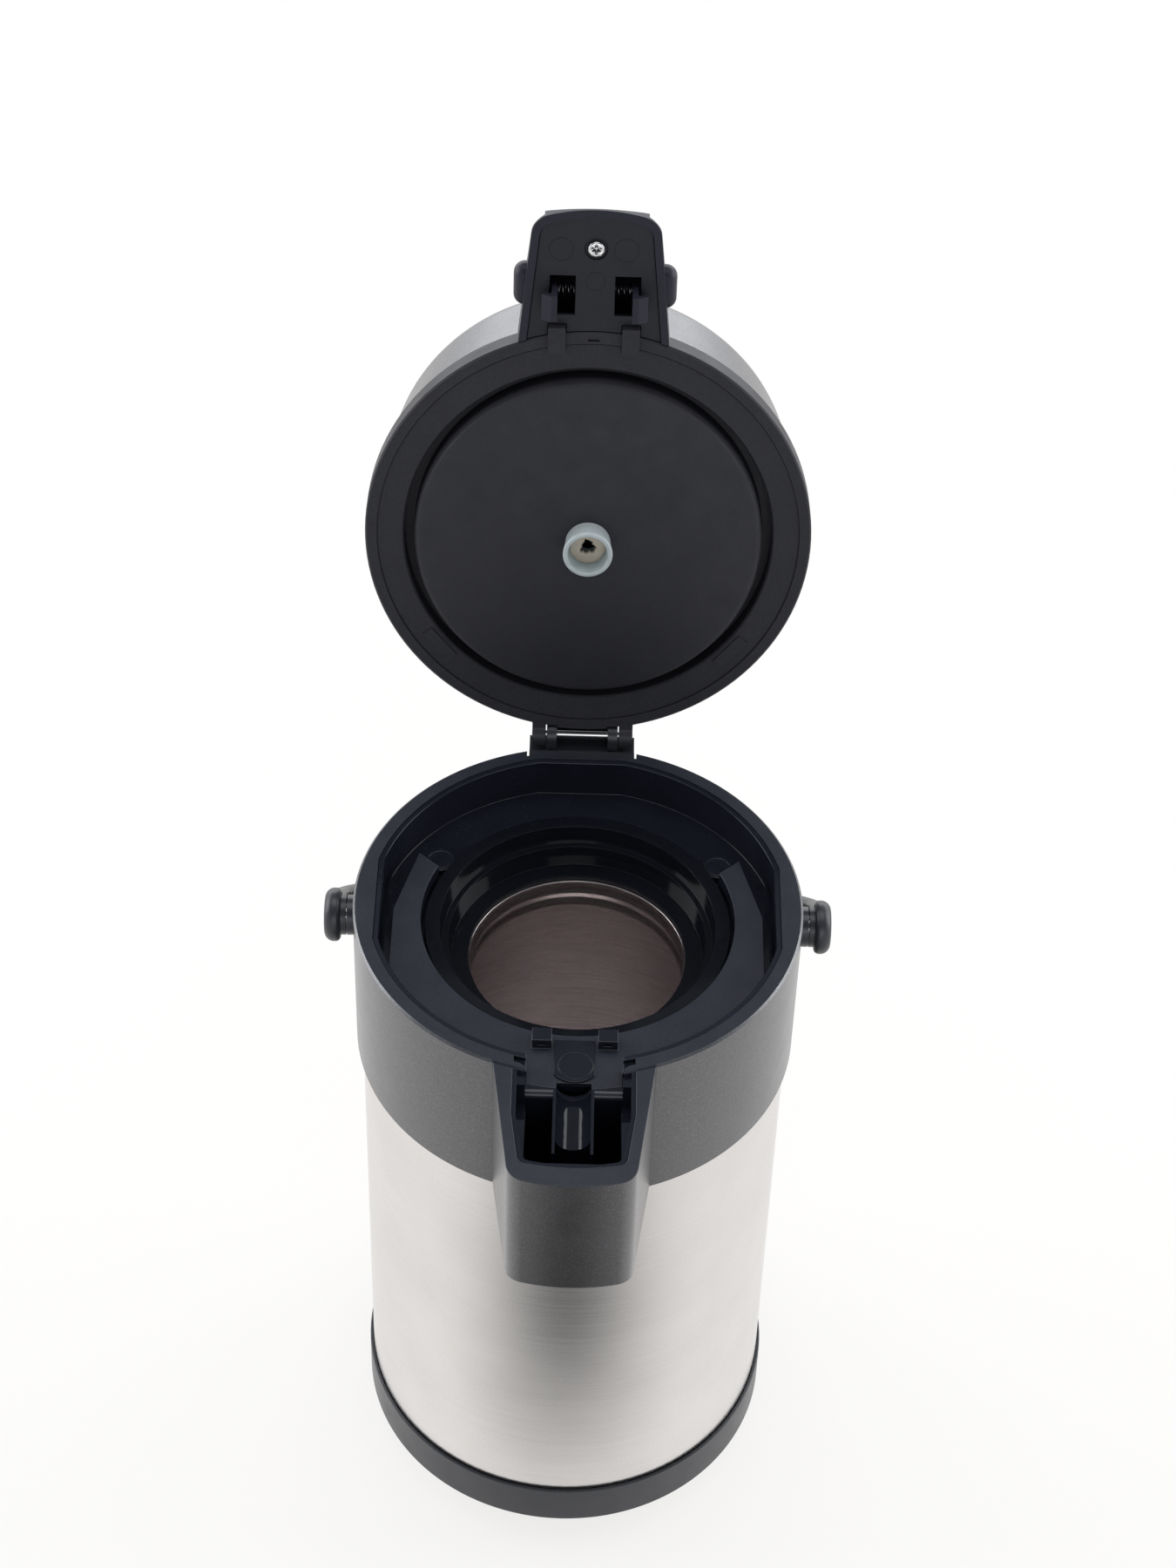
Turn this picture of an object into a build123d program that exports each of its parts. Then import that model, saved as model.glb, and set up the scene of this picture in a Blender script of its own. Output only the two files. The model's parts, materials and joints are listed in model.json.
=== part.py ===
from build123d import *
import os
from math import cos, hypot, radians, sin, tan

os.makedirs("parts", exist_ok=True)

# A vacuum airpot with its lid tipped open. Millimetres, +Z up, the spout points to -Y.
# The origin is the centre of the swivel foot, on the table.

# Main sizes
rim_height = 285.0
body_radius = 77.8
collar_height = 65.8
spout_length = 47.9
lid_open_angle = 102.77

# Clearances
slide_clearance = 0.4
seat_clearance = 0.1
pin_clearance = 0.05
lid_gap = 0.4

# Swivel foot
swivel_height = 9.0
swivel_gap = 0.3
swivel_radius = body_radius - 9.8
swivel_plate = 3.0
foot_ring_width = 9.0
foot_ring_edge = 1.5
rubber_width = 5.0
rubber_height = 2.0
rubber_proud = 0.6
swivel_shank_radius = 4.6
swivel_thread_radius = 2.3
swivel_thread_depth = 5.0
swivel_head_radius = 9.0
swivel_head_height = 2.4

# Base cap
cap_wall = 1.3
cap_height = 24.0
cap_floor = 3.0
cap_edge = 5.0
cap_boss_radius = 9.0
cap_boss_height = 4.0

# Steel body and liner
body_wall = 0.8
vacuum_gap = 6.0
liner_wall = 0.8
liner_floor_gap = 12.0
liner_corner = 10.0
neck_bore_radius = 38.5
neck_gap = 3.2
neck_drop = 30.0
neck_length = 11.0
neck_ridge = 0.7
shoulder_drop = 22.0
shoulder_reach = 8.0
shoulder_sag = 3.0
shoulder_round = 6.0
bottom_dish = 6.0
bottom_rim = 4.0

# Collar
collar_wall = 2.1
rim_band = 2.4
rim_edge = 0.8
seam_inset = 5.4
seam_side_inset = 8.0
seam_back_inset = 7.0
gate_half = 16.7
gate_corner = 4.0
gate_gap = 0.5

# Throat above the liner's neck
gasket_height = 2.0
throat_wall = 1.8
throat_mouth = 54.6
throat_step = 49.4
throat_ledge = 46.3
throat_taper = 1.0
ledge_thickness = 0.8
ledge_height = 8.2
mouth_height = 7.4

# Bowl inside the collar
bowl_wall = 2.0
bowl_top_drop = 0.4
floor_drop = 16.0
shelf_drop = 7.5
shelf_inner_radius = throat_mouth + 1.4
shelf_end_back = 30.0
shelf_end_half = 58.0
shelf_side_back = 2.0
shelf_side_half = 66.0
shelf_back_half = 42.0
shelf_back = 16.0
boss_bearing = 31.95
boss_ring = throat_mouth + 4.92
boss_radius = 5.4
boss_drop = 12.5
boss_depth = 6.0
plug_radius = 4.3
plug_height = 1.4
screw_head_radius = 3.2
screw_head_height = 1.8
screw_shank_radius = 1.5
socket_height = 12.0
clip_near = 8.0
clip_width = 6.8
clip_inner = shelf_inner_radius + 0.2
clip_depth = 5.8
clip_slot_width = 2.6
clip_slot_height = 0.9
clip_slot_rise = 1.8

# Spout on the collar's front
spout_half_back = 28.4
spout_half_front = 21.4
spout_bow = 3.7
spout_corner_radius = 7.5
spout_wall = 2.4
spout_low_rise = 2.4
spout_front_rise = 8.4
spout_plate = 2.2
spout_rim = 8.2
recess_half_back = 20.8
recess_half_front = 18.0
recess_bow = 2.1
recess_taper = 22.7
recess_corner_radius = 3.0
channel_wall = 1.4
channel_ledge = 1.8
pit_half = 16.3
pit_wall = 3.5
pit_near = 2.6
pit_depth = 46.0
pocket_depth = 13.0
trough_wall = 1.0
trough_length = 19.0
trough_sides = 25.5
walkway_roll = 2.2
strip_half = 7.0
strip_inner_inset = 21.4
strip_outer_inset = 6.0
strip_bow = 5.9
strip_height = 0.7
outlet_radius = 6.0
outlet_wall = 1.8
outlet_length = 4.0
outlet_reach = 28.6

# Lid hinge behind the collar
hinge_reach = 3.5
hinge_rise = 2.7
hinge_pin_radius = 1.25
knuckle_radius = 4.5
post_inner = 9.5
post_width = 3.6
arm_gap = 0.5
arm_width = 5.0
bracket_side = 0.9
bracket_wall = 1.5
bracket_wall_rise = 0.3
bracket_drop = 22.0
bracket_corner = 6.0

# Carrying handle and its pivots
pivot_y = 2.0
pivot_drop = 11.5
pivot_pin_radius = 4.0
pivot_boss_radius = 7.2
pivot_boss_proud = 2.3
pivot_head_radius = 6.5
pivot_head_height = 2.0
pivot_cap_radius = 6.0
pivot_cap_height = 1.2
hub_radius = 9.6
hub_edge = 1.8
hub_crown = 3.4
hub_neck = 2.3
bail_straight = 28.0
bail_thickness = 5.8
bail_height = 13.0
bail_edge = 2.2
bail_rest_angle = 41.8
grip_wall = 2.0
grip_extra_height = 5.0
grip_half_angle = 40.0

# Lid casing
lid_ring_height = 9.6
lid_ring_wall = 2.2
lid_edge_width = 4.2
lid_edge_step = 0.5
lid_edge_line = 0.4
lid_edge_round = 0.6
edge_slot_half = 2.0
edge_slot_width = 1.0
edge_slot_inset = 2.8
edge_slot_depth = 0.9
lid_band_width = 9.8
lid_groove_width = 3.8
lid_groove_depth = 8.0
lid_drum_inset = 6.0
lid_drum_height = 60.0
lid_drum_shoulder = 14.0
lid_drum_wall = 2.0
pan_wall = 1.6
pan_proud = 3.2
pan_edge = 2.6
snap_tab_angle = 40.5
snap_tab_half = 7.0
snap_tab_width = 4.4
snap_tab_proud = 0.7
lug_near = 9.8
lug_width = 6.1
lug_proud = 2.5
lug_inset = 7.5
lug_reach = 2.5

# Push button and air pump inside the lid
button_radius = 46.0
button_wall = 2.2
button_proud = 3.0
button_travel = 22.0
button_edge = 1.5
flange_height = 1.6
flange_width = 2.2
guide_depth = 12.0
bellows_inset = 5.0
bellows_fold = 5.0
bellows_folds = 6
bellows_wall = 1.5
spring_radius = 12.0
spring_wire = 0.9
spring_turns = 7
intake_radius = 8.0
intake_neck = 5.9
intake_height = 1.6
nozzle_radius = 8.9
nozzle_wall = 1.7
nozzle_reach = 13.2
nozzle_bore = 5.0
nozzle_lip = 1.2
nozzle_flange = 1.4
valve_bore = 2.7
valve_depth = 2.0

# Tongue at the lid's front, with the two squeeze latches
tongue_half_back = 27.7
tongue_half_front = 21.8
tongue_inset = 2.7
tongue_bow = 3.9
tongue_corner_radius = 8.0
tongue_height_front = 18.0
tongue_height_back = 27.0
tongue_wall = 2.6
tongue_edge = 2.4
tongue_lip = 1.2
tongue_corner_turn = 45.0
tongue_lean = 37.0
cover_inset = 0.9
cover_thickness = 2.0
tongue_screw_inset = 14.5
tongue_screw_recess = 3.9
tongue_screw_head = 2.9
tongue_screw_bearing = 1.1
tongue_screw_length = 9.0
latch_reach = 7.2
latch_length = 9.4
latch_travel = 3.0
latch_shank_near = 12.9
latch_shank_width = 2.0
latch_hook_reach = 18.2
latch_hook_depth = 8.0
latch_hook_height = 3.0
latch_hook_lead = 1.8
latch_arm_low = 8.0
latch_arm_high = 13.0
knob_reach = 28.3
knob_inner = 19.0
knob_low = 5.0
knob_high = 14.0
knob_edge = 4.0
knob_extra = 5.2
rib_half = 1.6
latch_spring_radius = 2.2
latch_spring_wire = 0.35
latch_spring_turns = 6

# Radii and places that several pieces share
collar_bore = body_radius + seat_clearance
collar_radius = collar_bore + collar_wall
cap_radius = collar_bore + cap_wall
liner_radius = body_radius - body_wall - vacuum_gap
liner_neck_radius = neck_bore_radius + liner_wall
body_neck_radius = liner_neck_radius + neck_gap
seam_radius = collar_radius - seam_inset
seam_flat_side = collar_radius - seam_side_inset
seam_flat_back = collar_radius - seam_back_inset
boss_x = boss_ring * cos(radians(boss_bearing))
boss_y = boss_ring * sin(radians(boss_bearing))
spout_reach = collar_radius + spout_length
spout_low_back = collar_height - spout_low_rise
spout_low_front = spout_low_back - spout_front_rise
recess_reach = spout_reach - spout_rim
pit_back = collar_radius + pit_near
trough_end = -(pit_back + trough_length)
trough_sides_end = -(pit_back + trough_sides)
outlet_y = -(collar_radius + outlet_reach)
hinge_y = collar_radius + hinge_reach
post_outer = post_inner + post_width
arm_inner = post_outer + arm_gap
arm_outer = arm_inner + arm_width
bracket_half = arm_outer + bracket_side
bracket_front = seam_flat_back + 1.2
pivot_boss_reach = collar_radius + pivot_boss_proud
hub_neck_reach = pivot_boss_reach + hub_neck
hub_reach = hub_neck_reach + bail_thickness
lid_radius = collar_radius
lid_band_outer = lid_radius - lid_edge_width
lid_band_inner = lid_band_outer - lid_band_width
lid_drum_radius = lid_radius - lid_drum_inset
pan_radius = lid_band_inner - lid_groove_width
bellows_radius = button_radius - bellows_inset
tongue_reach = spout_reach - tongue_inset
tongue_screw_y = -(tongue_reach - tongue_screw_inset)
latch_back = collar_radius + latch_reach
latch_front = latch_back + latch_length
knob_front = latch_front + knob_extra
knob_back = latch_back - 2 * slide_clearance

# Heights that several pieces share
cap_bottom = swivel_height + swivel_gap
shell_foot = cap_bottom + cap_floor
collar_foot = rim_height - collar_height
shelf_z = rim_height - shelf_drop
gate_low = shelf_z - bowl_wall - gate_gap
floor_z = rim_height - floor_drop
floor_low = floor_z - bowl_wall
boss_top = rim_height - boss_drop
boss_low = floor_low - boss_depth
neck_top = rim_height - neck_drop
shoulder_top = neck_top - neck_length
throat_low = neck_top + gasket_height
pivot_z = rim_height - pivot_drop
hinge_z = rim_height + hinge_rise
lid_z = rim_height + lid_gap
pan_face = lid_z - pan_proud
drum_top = lid_z + lid_drum_height
button_top = drum_top + button_proud
button_low = button_top - button_travel - lid_drum_wall
pump_floor = pan_face + pan_wall
pump_top = button_low - flange_height


def turned(points):
    """A closed (radius, height) outline spun about the vertical axis."""
    return revolve(Plane.XZ * make_face(Polyline(*points, close=True)), Axis.Z)


def block(x0, x1, y0, y1, z0, z1):
    """A box between two opposite corners."""
    centre = Pos((x0 + x1) / 2, (y0 + y1) / 2, (z0 + z1) / 2)
    return centre * Box(abs(x1 - x0), abs(y1 - y0), abs(z1 - z0))


def prism(face, z0, z1):
    """A flat face raised from z0 to z1."""
    return extrude(Pos(0, 0, z0) * face, amount=z1 - z0)


def drum(radius, z0, z1, x=0.0, y=0.0):
    """An upright cylinder."""
    return Pos(x, y, (z0 + z1) / 2) * Cylinder(radius, z1 - z0)


def rod(radius, x0, x1, y, z):
    """A cylinder along X."""
    return Pos((x0 + x1) / 2, y, z) * Rot(0, 90, 0) * Cylinder(radius, abs(x1 - x0))


def both(shape):
    """A piece and its mirror image across the YZ plane."""
    return shape + mirror(shape, about=Plane.YZ)


def nose(half_back, half_front, back, reach, bow, radius):
    """A forward-pointing outline with straight tapering sides and a shallow curved front."""
    corner = -(reach - bow)
    sides = Polyline((-half_front, corner), (-half_back, -back), (half_back, -back), (half_front, corner))
    front = ThreePointArc((half_front, corner), (0, -reach), (-half_front, corner))
    face = make_face([sides, front])
    return fillet(face.vertices().sort_by(Axis.Y)[:2], radius)


def coil(radius, wire, length, turns):
    """A compression spring standing on z = 0."""
    path = Helix(pitch=(length - 2 * wire) / turns, height=length - 2 * wire, radius=radius)
    start = Plane(origin=path @ 0, z_dir=path % 0)
    return Pos(0, 0, wire) * sweep(start * Circle(wire), path=path)


def opened(shape):
    """Tip a piece of the closed lid back about the hinge pin."""
    return shape.rotate(Axis((0, hinge_y, hinge_z), (1, 0, 0)), -lid_open_angle)


def hung(shape):
    """Lower the level handle to where it leans on the body."""
    return shape.rotate(Axis((0, pivot_y, pivot_z), (1, 0, 0)), -bail_rest_angle)


def seam_outline(inset=0.0):
    """The bowl's opening: a circle with a flat on each side and one at the back."""
    side = seam_flat_side - inset
    back = seam_flat_back - inset
    radius = seam_radius - inset
    window = Pos(0, (back - radius) / 2) * Rectangle(2 * side, back + radius)
    return Circle(radius) & window


def gate_outline():
    """The way from the bowl to the spout, with rounded corners where it leaves the ring."""
    near = seam_radius - 2 * gate_corner
    far = collar_radius + 1
    gate = Pos(0, -(near + far) / 2) * Rectangle(2 * gate_half, far - near)
    flare = Pos(0, -seam_radius) * Rectangle(2 * (gate_half + gate_corner), 2 * gate_corner)
    for side in (-1, 1):
        flare -= Pos(side * (gate_half + gate_corner), -seam_radius - gate_corner) * Circle(gate_corner)
    return gate + flare


def spout_outline(grow=0.0):
    """The spout seen from above, from inside the collar to its bowed front."""
    return nose(spout_half_back + grow, spout_half_front + grow, collar_bore - spout_corner_radius,
                spout_reach + grow, spout_bow, spout_corner_radius + grow)


def recess_outline(grow=0.0):
    """The spout's inner edge: parallel sides as far as the bend, then tapering to the front."""
    wide = recess_half_back + grow
    narrow = recess_half_front + grow
    back = -seam_flat_side
    bend = recess_taper - recess_reach
    reach = recess_reach + grow
    corner = recess_bow - reach
    sides = Polyline((-narrow, corner), (-wide, bend), (-wide, back),
                     (wide, back), (wide, bend), (narrow, corner))
    front = ThreePointArc((narrow, corner), (0, -reach), (-narrow, corner))
    face = make_face([sides, front])
    return fillet(face.vertices().sort_by(Axis.Y)[:2], recess_corner_radius)


def tongue_outline(grow=0.0):
    """The lid's tongue seen from above, from inside the drum to its bowed front."""
    return nose(tongue_half_back + grow, tongue_half_front + grow, lid_drum_radius - lid_drum_shoulder,
                tongue_reach + grow, tongue_bow, tongue_corner_radius + grow)


# Swivel foot

def rubber_band():
    """A flat ring in the middle of the foot ring's width."""
    middle = swivel_radius - foot_ring_width / 2
    outside = drum(middle + rubber_width / 2, 0, rubber_height)
    return outside - drum(middle - rubber_width / 2, 0, rubber_height)


def swivel_base():
    """The turntable under the pot: a plate with a foot ring that holds the rubber ring."""
    hole = swivel_shank_radius + slide_clearance
    ring_inner = swivel_radius - foot_ring_width
    body = turned([
        (hole, swivel_height - swivel_plate),
        (ring_inner, swivel_height - swivel_plate),
        (ring_inner, rubber_proud),
        (swivel_radius - foot_ring_edge, rubber_proud),
        (swivel_radius, rubber_proud + foot_ring_edge),
        (swivel_radius, swivel_height),
        (hole, swivel_height),
    ])
    return body - rubber_band()


def rubber_ring():
    """The rubber ring pressed into the foot's groove; the pot stands on it."""
    return rubber_band()


def swivel_screw():
    """The shouldered screw that holds the foot to the base cap and lets it turn."""
    head_top = swivel_height - swivel_plate - swivel_gap
    head_low = head_top - swivel_head_height
    thread_top = cap_bottom + swivel_thread_depth
    screw = turned([
        (0, head_low), (swivel_head_radius, head_low), (swivel_head_radius, head_top),
        (swivel_shank_radius, head_top), (swivel_shank_radius, cap_bottom),
        (swivel_thread_radius, cap_bottom), (swivel_thread_radius, thread_top), (0, thread_top),
    ])
    slot = block(-swivel_head_radius, swivel_head_radius, -0.7, 0.7, head_low - 1, head_low + 1)
    return screw - slot


# Steel body

def base_cap():
    """The plastic cup that closes the foot of the steel body."""
    boss_height = shell_foot + cap_boss_height
    top = cap_bottom + cap_height
    body = turned([
        (0, cap_bottom), (cap_radius - cap_edge, cap_bottom), (cap_radius, cap_bottom + cap_edge),
        (cap_radius, top), (collar_bore, top), (collar_bore, shell_foot),
        (cap_boss_radius, shell_foot), (cap_boss_radius, boss_height), (0, boss_height),
    ])
    return body - drum(swivel_thread_radius + seat_clearance, cap_bottom, boss_height)


def outer_shell():
    """The brushed steel jacket: a tube drawn in at the shoulder to a short neck."""
    knee = shoulder_top - shoulder_drop / 2
    bend = knee - shoulder_round
    lip_low = neck_top - liner_wall
    r = body_radius
    edge = body_radius - shoulder_sag
    n = body_neck_radius
    foot = body_neck_radius + shoulder_reach
    high = shoulder_top - shoulder_sag
    w = body_wall
    return turned([
        (r, shell_foot), (r, bend), (edge, knee), (foot, high), (n, shoulder_top), (n, lip_low),
        (n - w, lip_low), (n - w, shoulder_top - w), (foot - w, high - w), (edge - w, knee - w),
        (r - w, bend - w), (r - w, shell_foot),
    ])


def shell_bottom():
    """The pressed steel dish welded into the jacket's foot."""
    w = body_wall
    edge = body_radius - w - seat_clearance
    foot = edge - bottom_rim
    flat = foot - bottom_dish
    low = shell_foot
    high = shell_foot + bottom_dish
    return turned([
        (0, high), (flat, high), (foot, low), (edge, low),
        (edge, low + w), (foot, low + w), (flat, high + w), (0, high + w),
    ])


def inner_liner():
    """The steel flask inside the vacuum, hung from its rolled lip on the jacket's neck."""
    knee = shoulder_top - shoulder_drop
    low = shell_foot + liner_floor_gap
    bore = neck_bore_radius
    neck = liner_neck_radius
    ridge = neck_ridge
    quarter = neck_length / 4
    flare = 0.75 * shoulder_reach
    sag = shoulder_sag + 1
    w = liner_wall
    corner = liner_corner
    return turned([
        (0, low), (liner_radius - corner, low), (liner_radius, low + corner), (liner_radius, knee),
        (neck + flare, shoulder_top - sag), (neck, shoulder_top - 1), (neck, shoulder_top),
        (neck + ridge, shoulder_top + quarter), (neck, shoulder_top + 2 * quarter),
        (neck + ridge, shoulder_top + 3 * quarter), (neck + ridge, neck_top - w),
        (body_neck_radius, neck_top - w), (body_neck_radius, neck_top), (bore + ridge, neck_top),
        (bore + ridge, shoulder_top + 3 * quarter), (bore, shoulder_top + 2 * quarter),
        (bore + ridge, shoulder_top + quarter), (bore, shoulder_top), (bore, shoulder_top - 1 - w / 2),
        (neck + flare - w, shoulder_top - sag - w), (liner_radius - w, knee - w / 2),
        (liner_radius - w, low + corner + w / 2), (liner_radius - corner - w / 2, low + w), (0, low + w),
    ])


def neck_gasket():
    """The silicone washer squeezed between the liner's lip and the throat."""
    return turned([
        (neck_bore_radius + neck_ridge, neck_top), (body_neck_radius - 0.5, neck_top),
        (body_neck_radius - 0.5, throat_low), (neck_bore_radius + neck_ridge, throat_low),
    ])


# Collar and bowl

def pipe_groove(grow=0.0):
    """The round-bottomed groove that the pouring pipe lies in, from the strip's end out over the pit."""
    back = strip_outer_inset - collar_radius - hypot(strip_half, strip_bow) + strip_bow
    groove = Cylinder(strip_half - trough_wall + grow, back - trough_end)
    return Pos(0, (back + trough_end) / 2, shelf_z) * Rot(90, 0, 0) * groove


def collar():
    """The painted ring round the pot's top, with its rim turned in flat."""
    band_inner = seam_flat_side - 2 * bowl_wall
    wall = turned([
        (collar_bore, collar_foot), (collar_radius - rim_edge, collar_foot),
        (collar_radius, collar_foot + rim_edge), (collar_radius, rim_height - rim_edge),
        (collar_radius - rim_edge, rim_height), (band_inner, rim_height),
        (band_inner, rim_height - rim_band), (collar_bore, rim_height - rim_band),
    ])
    body = wall - prism(seam_outline(), rim_height - rim_band - 1, rim_height + 1)
    body -= prism(gate_outline(), gate_low, rim_height + 1)
    body -= pipe_groove(seat_clearance)
    notch = bracket_half + 2 * slide_clearance
    body -= block(-notch, notch, bracket_front - seat_clearance, collar_radius + 5,
                  rim_height - bracket_drop - 2, rim_height + 1)
    near = collar_bore + seat_clearance
    for side in (-1, 1):
        body += rod(pivot_boss_radius, side * near, side * pivot_boss_reach, pivot_y, pivot_z)
        bore = rod(pivot_pin_radius + seat_clearance, side * (near - 5), side * hub_reach, pivot_y, pivot_z)
        body -= bore
    return body


def shelf_outline():
    """The raised C-shaped shelf, which ends in points near the screw bosses."""
    far = -collar_radius
    edge = Polyline((-shelf_side_half, shelf_side_back), (-shelf_end_half, shelf_end_back),
                    (-shelf_back_half, shelf_back), (shelf_back_half, shelf_back),
                    (shelf_end_half, shelf_end_back), (shelf_side_half, shelf_side_back),
                    (shelf_side_half, far), (-shelf_side_half, far), close=True)
    return (make_face(edge) & seam_outline(bowl_wall / 2)) - Circle(shelf_inner_radius)


def collar_bowl():
    """The gloss black tray inside the collar: wall, floor, shelf, screw bosses and two clip blocks."""
    top = rim_height - bowl_top_drop
    under_band = rim_height - rim_band
    body = prism(seam_outline(seat_clearance), floor_low, top)
    body -= prism(seam_outline(bowl_wall), floor_z, top + 1)
    flange = prism(Circle(collar_bore - seat_clearance), under_band - bowl_wall, under_band)
    flange -= prism(seam_outline(bowl_wall), under_band - bowl_wall - 1, under_band + 1)
    body += flange
    body += prism(shelf_outline(), floor_z - 1, shelf_z)
    gate = 2 * (gate_half - seat_clearance)
    run = collar_radius - shelf_inner_radius
    strip = Pos(0, -shelf_inner_radius - run / 2) * Rectangle(gate, run)
    walkway = prism(strip, shelf_z - bowl_wall, shelf_z)
    opening = prism(Pos(0, -seam_radius) * Rectangle(gate, 7 * bowl_wall), shelf_z, top + 1)
    body = body - opening + (walkway & drum(collar_radius, shelf_z - 2 * bowl_wall, shelf_z))
    body -= pipe_groove()
    clip_front = -(clip_inner + clip_depth)
    clip_top = pan_face - slide_clearance
    clip_mid = clip_near + clip_width / 2
    slot_low = shelf_z + clip_slot_rise
    body += both(block(clip_near, clip_near + clip_width, clip_front, -clip_inner, shelf_z, clip_top))
    body -= both(block(clip_mid - clip_slot_width / 2, clip_mid + clip_slot_width / 2,
                       clip_front - 1, clip_front + 1.2, slot_low, slot_low + clip_slot_height))
    body += both(drum(boss_radius, boss_low, boss_top, boss_x, boss_y))
    body -= both(drum(plug_radius, boss_top - plug_height - screw_head_height, boss_top, boss_x, boss_y))
    body -= both(drum(screw_shank_radius + seat_clearance, boss_low - 1, boss_top, boss_x, boss_y))
    body -= drum(throat_mouth, boss_low - 1, shelf_z + 1)
    room = bracket_half + slide_clearance
    body -= block(-room, room, bracket_front - seat_clearance, collar_radius,
                  rim_height - bracket_drop - 1, rim_height + 1)
    for side in (-1, 1):
        wall_face = side * (seam_flat_side - seat_clearance)
        body -= rod(pivot_head_radius + slide_clearance, wall_face, side * collar_radius, pivot_y, pivot_z)
    return body


def bowl_screws():
    """Two screws that pull the bowl down; their heads sit under the plugs."""
    head_top = boss_top - plug_height
    head_low = head_top - screw_head_height
    screw = drum(screw_head_radius, head_low, head_top, boss_x, boss_y)
    screw += drum(screw_shank_radius, boss_low - 2, head_low + 0.5, boss_x, boss_y)
    return [screw, mirror(screw, about=Plane.YZ)]


def screw_plugs():
    """Round plugs that hide the two bowl screws."""
    plug = drum(plug_radius - seat_clearance / 2, boss_top - plug_height, boss_top, boss_x, boss_y)
    return [plug, mirror(plug, about=Plane.YZ)]


def screw_sockets():
    """Two posts on the shell's shoulder that the bowl screws bite into."""
    post = drum(boss_radius, boss_low - socket_height, boss_low, boss_x, boss_y)
    post -= drum(screw_shank_radius + seat_clearance, boss_low - 5, boss_low, boss_x, boss_y)
    return [post, mirror(post, about=Plane.YZ)]


def throat_ring():
    """The stepped funnel that leads from the bowl into the liner's neck."""
    ledge = throat_low + ledge_thickness
    step = ledge + ledge_height
    mouth = step + mouth_height
    edge = throat_mouth - seat_clearance
    bore = neck_bore_radius + neck_ridge
    w = throat_wall
    return turned([
        (edge, mouth), (throat_step, mouth), (throat_step - throat_taper, step), (throat_ledge, step),
        (throat_ledge - throat_taper, ledge), (bore, ledge), (bore, throat_low), (bore + 2 * w, throat_low),
        (bore + 2 * w, ledge - w / 2), (throat_ledge - throat_taper + w, ledge - w / 2),
        (throat_ledge + w, step - w), (throat_step - throat_taper + w, step - w),
        (throat_step + w, mouth - w),
        (edge - w, mouth - w), (edge - w, floor_low), (edge, floor_low),
    ])


# Spout

def under_spout():
    """Everything below the sloping underside of the spout."""
    back = rim_height - spout_low_back
    slope = (spout_low_back - spout_low_front) / (spout_reach - collar_bore)
    near = collar_bore / 2
    far = spout_reach + collar_bore
    deep = back - collar_height
    near_z = back - slope * (collar_bore - near)
    far_z = back + slope * (far - collar_bore)
    face = make_face(Polyline((-near, near_z), (-far, far_z), (-far, deep), (-near, deep), close=True))
    return extrude(Plane.YZ * face, amount=collar_radius, both=True)


def spout_cover():
    """The painted hood over the spout, open inside, with its top edge turned in."""
    low = collar_foot
    body = prism(spout_outline(), low, rim_height)
    body -= prism(spout_outline(-spout_wall), low - 1, rim_height - rim_band)
    body -= prism(recess_outline(seat_clearance), rim_height - rim_band - 1, rim_height + 1)
    body -= drum(collar_radius + seat_clearance, low - 1, rim_height + 1)
    return body - under_spout()


def spout_floor():
    """The plate under the spout with the short pouring nozzle."""
    slab = prism(spout_outline(-spout_wall - seat_clearance), collar_foot, rim_height - pit_depth)
    slab -= under_spout()
    slab &= Pos(0, 0, spout_plate) * under_spout()
    slab -= drum(collar_radius + seat_clearance, collar_foot - 1, rim_height)
    top = rim_height - pit_depth - channel_wall - spout_plate
    bottom = rim_height - spout_low_back - outlet_length
    tube = drum(outlet_radius + outlet_wall, bottom, top, 0, outlet_y)
    return slab + tube - drum(outlet_radius, bottom - 1, top + 1, 0, outlet_y)


def spout_channel():
    """The gloss black liner of the spout: a deep pit, latch pockets and a holder for the pouring pipe."""
    top = rim_height - rim_edge
    low = rim_height - pit_depth
    pit_front = recess_reach - pit_wall
    body = prism(recess_outline(), low - channel_wall, top)
    body -= prism(recess_outline(-channel_wall), top - channel_ledge, top + 1)
    pit = block(-pit_half, pit_half, -pit_front, -pit_back, low, top + 1)
    body -= fillet(pit.edges().filter_by(Axis.Z).group_by(Axis.Y)[0], recess_corner_radius)
    body -= both(block(pit_half - 1, recess_half_back - channel_wall, -latch_front - channel_wall, -pit_back,
                       rim_height - pocket_depth, top + 1))
    way_half = gate_half - seat_clearance
    body -= block(-way_half, way_half, -pit_back - 1, -seam_radius, shelf_z, top + 1)
    body -= drum(collar_radius + seat_clearance, low - 5, top + 5)
    body = fillet(body.edges().filter_by(Axis.X).filter_by_position(Axis.Y, -pit_back - 0.1, -pit_back + 0.1)
                  .filter_by_position(Axis.Z, shelf_z - 0.1, shelf_z + 0.1), walkway_roll)
    groove = strip_half - trough_wall
    trough = block(-strip_half, strip_half, trough_sides_end, walkway_roll - pit_back, low, shelf_z)
    trough -= block(-groove, groove, trough_sides_end - 1, trough_end, low - 1, shelf_z + 1)
    body += trough
    hollow_top = shelf_z - strip_half - channel_wall
    body -= block(-groove, groove, trough_end + trough_wall, -pit_back, low - channel_wall - 1, hollow_top)
    body -= pipe_groove()
    return body - drum(outlet_radius, low - 5, low + 1, 0, outlet_y)


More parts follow.
